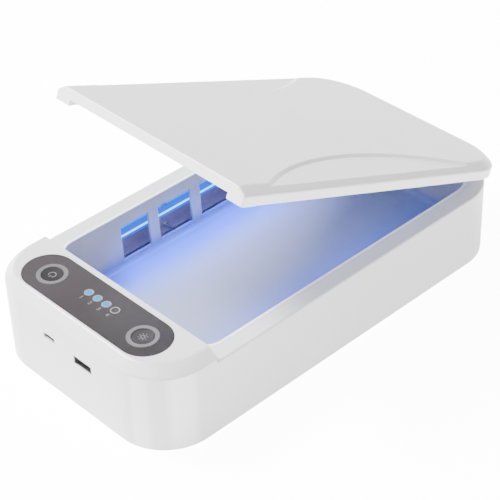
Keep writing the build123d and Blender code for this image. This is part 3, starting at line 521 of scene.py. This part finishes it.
# ---------------------------------------------------------------- floor and sky
# The floor is pure white to the camera, and throws a softer light on the object's walls.
m = Mat("floor_pale", (0.93, 0.93, 0.93), 0.6)
m.color(m.noise(3.0, 2.0), (0.93, 0.93, 0.93), (0.925, 0.925, 0.925))
m.bsdf.inputs["Emission Color"].default_value = (1, 1, 1, 1)
seen = m.add("ShaderNodeLightPath").outputs["Is Camera Ray"]
m.link(m.span(seen, 0, 1, FLOOR_GLOW, FLOOR_GLOW_SEEN), m.bsdf.inputs["Emission Strength"])
data = bpy.data.meshes.new("floor")
corners = [(-FLOOR_HALF, -FLOOR_HALF, 0), (FLOOR_HALF, -FLOOR_HALF, 0),
           (FLOOR_HALF, FLOOR_HALF, 0), (-FLOOR_HALF, FLOOR_HALF, 0)]
data.from_pydata(corners, [], [(0, 1, 2, 3)])
floor = bpy.data.objects.new("floor", data)
bpy.context.scene.collection.objects.link(floor)
data.materials.append(m.mat)

# The sky is brighter high up, and a little brighter on the control end's side.
world = bpy.data.worlds.new("studio")
bpy.context.scene.world = world
world.use_nodes = True
tree = world.node_tree
background = tree.nodes["Background"]
background.inputs["Color"].default_value = (1, 1, 1, 1)
direction = tree.nodes.new("ShaderNodeSeparateXYZ")
tree.links.new(tree.nodes.new("ShaderNodeTexCoord").outputs["Generated"], direction.inputs[0])


def sky_fade(axis, low, high, out_low, out_high, easing):
    node = tree.nodes.new("ShaderNodeMapRange")
    node.interpolation_type = easing
    for key, value in (("From Min", low), ("From Max", high), ("To Min", out_low), ("To Max", out_high)):
        node.inputs[key].default_value = value
    tree.links.new(direction.outputs[axis], node.inputs["Value"])
    return node.outputs["Result"]


both = tree.nodes.new("ShaderNodeMath")
both.operation = "MULTIPLY"
tree.links.new(sky_fade("Z", 0.0, 0.9, SKY_LOW, SKY_HIGH, "SMOOTHSTEP"), both.inputs[0])
tree.links.new(sky_fade("X", -1.0, 1.0, SKY_LEFT, SKY_RIGHT, "LINEAR"), both.inputs[1])
tree.links.new(both.outputs[0], background.inputs["Strength"])


# ---------------------------------------------------------------- lights
def area_light(name, place, target, power, width, height):
    light = bpy.data.lights.new(name, "AREA")
    light.shape = "RECTANGLE"
    light.size = width
    light.size_y = height
    light.energy = power
    obj = bpy.data.objects.new(name, light)
    bpy.context.scene.collection.objects.link(obj)
    obj.location = place
    obj.rotation_mode = "QUATERNION"
    obj.rotation_quaternion = (Vector(target) - Vector(place)).to_track_quat("-Z", "Y")
    return obj


area_light("top_soft", (-0.36, 0.66, 1.02), (0, 0, 0), 54.0, 0.42, 0.42)
area_light("corner_soft", (-0.42, -0.98, 0.22), (-0.08, -0.03, 0.03), 1.9, 0.2, 0.35)

# The lamps' light on the cavity, thrown from just inside the windows of each long wall.
lamp_box = {side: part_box("lamp_tube_" + side) for side in ("left", "right")}
for side, (low, high) in lamp_box.items():
    y = (low[1] + high[1]) / 2
    inward = -1 if y > 0 else 1
    window = ((low[0] + high[0]) / 2, y + inward * WASH_INSET, (low[2] + high[2]) / 2)
    aim = (window[0], window[1] + inward * 0.02, window[2] - 0.03)
    wash = area_light("wash_" + side, window, aim, WASH_POWER, *WASH_SIZE)
    wash.data.spread = WASH_SPREAD
    wash.data.color = WASH_COLOR
    wash.visible_camera = False

# ---------------------------------------------------------------- camera
# The camera stands where the photograph was taken from: turned by azimuth, raised by
# elevation and tilted by roll, all in radians.
AZIMUTH, ELEVATION, ROLL = -0.739, 0.648, -0.039
DISTANCE = 0.817797
FOCAL_PX, FRAME_PX, SENSOR = 1697.65, 500, 36.0
target = Vector((0.009099 + CASE_MIDDLE_X, 0.012417, 0.013053))
back = Vector((math.sin(AZIMUTH) * math.cos(ELEVATION), -math.cos(AZIMUTH) * math.cos(ELEVATION),
               math.sin(ELEVATION)))
right = Vector((math.cos(AZIMUTH), math.sin(AZIMUTH), 0))
up = back.cross(right)
right_rolled = right * math.cos(ROLL) + up * math.sin(ROLL)
up_rolled = up * math.cos(ROLL) - right * math.sin(ROLL)
camera = bpy.data.objects.new("camera", bpy.data.cameras.new("camera"))
bpy.context.scene.collection.objects.link(camera)
camera.rotation_mode = "QUATERNION"
camera.rotation_quaternion = Matrix((right_rolled, up_rolled, back)).transposed().to_quaternion()
camera.location = target + back * DISTANCE
camera.data.sensor_width = SENSOR
camera.data.lens = FOCAL_PX / FRAME_PX * SENSOR
camera.data.clip_start = 0.05
camera.data.clip_end = 20.0
bpy.context.scene.camera = camera
